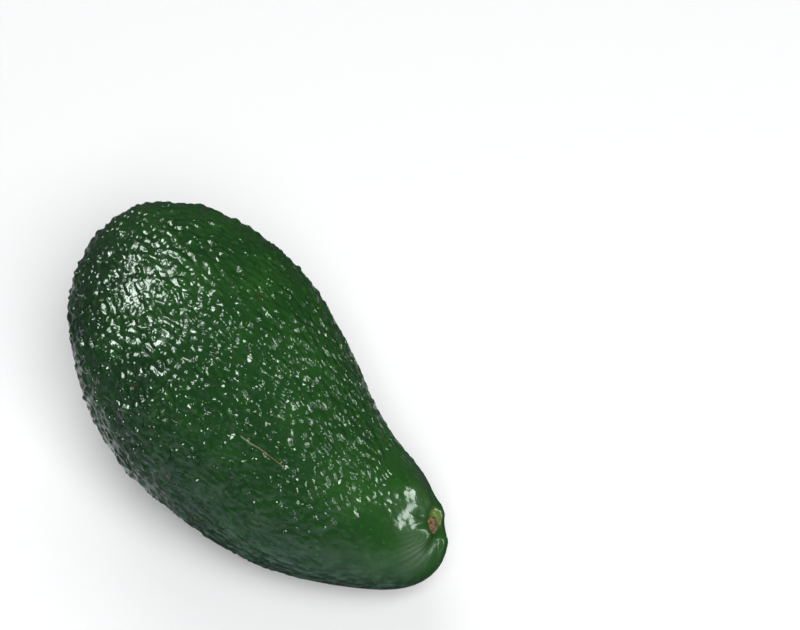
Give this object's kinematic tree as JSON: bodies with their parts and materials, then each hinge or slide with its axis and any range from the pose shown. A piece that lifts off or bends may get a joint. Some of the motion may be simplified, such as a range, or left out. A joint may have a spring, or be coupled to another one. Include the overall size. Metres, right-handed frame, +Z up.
{
  "type": "avocado",
  "caption": "Whole green pear-shaped avocado with a glossy pebbled skin, lying on its side, with the dried remains of its stalk in a hollow beside the tip of its neck.",
  "frame": {"origin": "on the surface that the fruit rests on, under the middle of the fruit's box", "axes": "+X along the fruit towards its stalk end, +Y to the side that the neck hooks towards, +Z up"},
  "size_m": [0.1262, 0.071, 0.0708],
  "materials": {
    "skin": "gloss",
    "dried_stalk": "matte"
  },
  "bodies": {
    "root": {"fruit": "skin", "stalk_stub": "dried_stalk"}
  },
  "joints": []
}
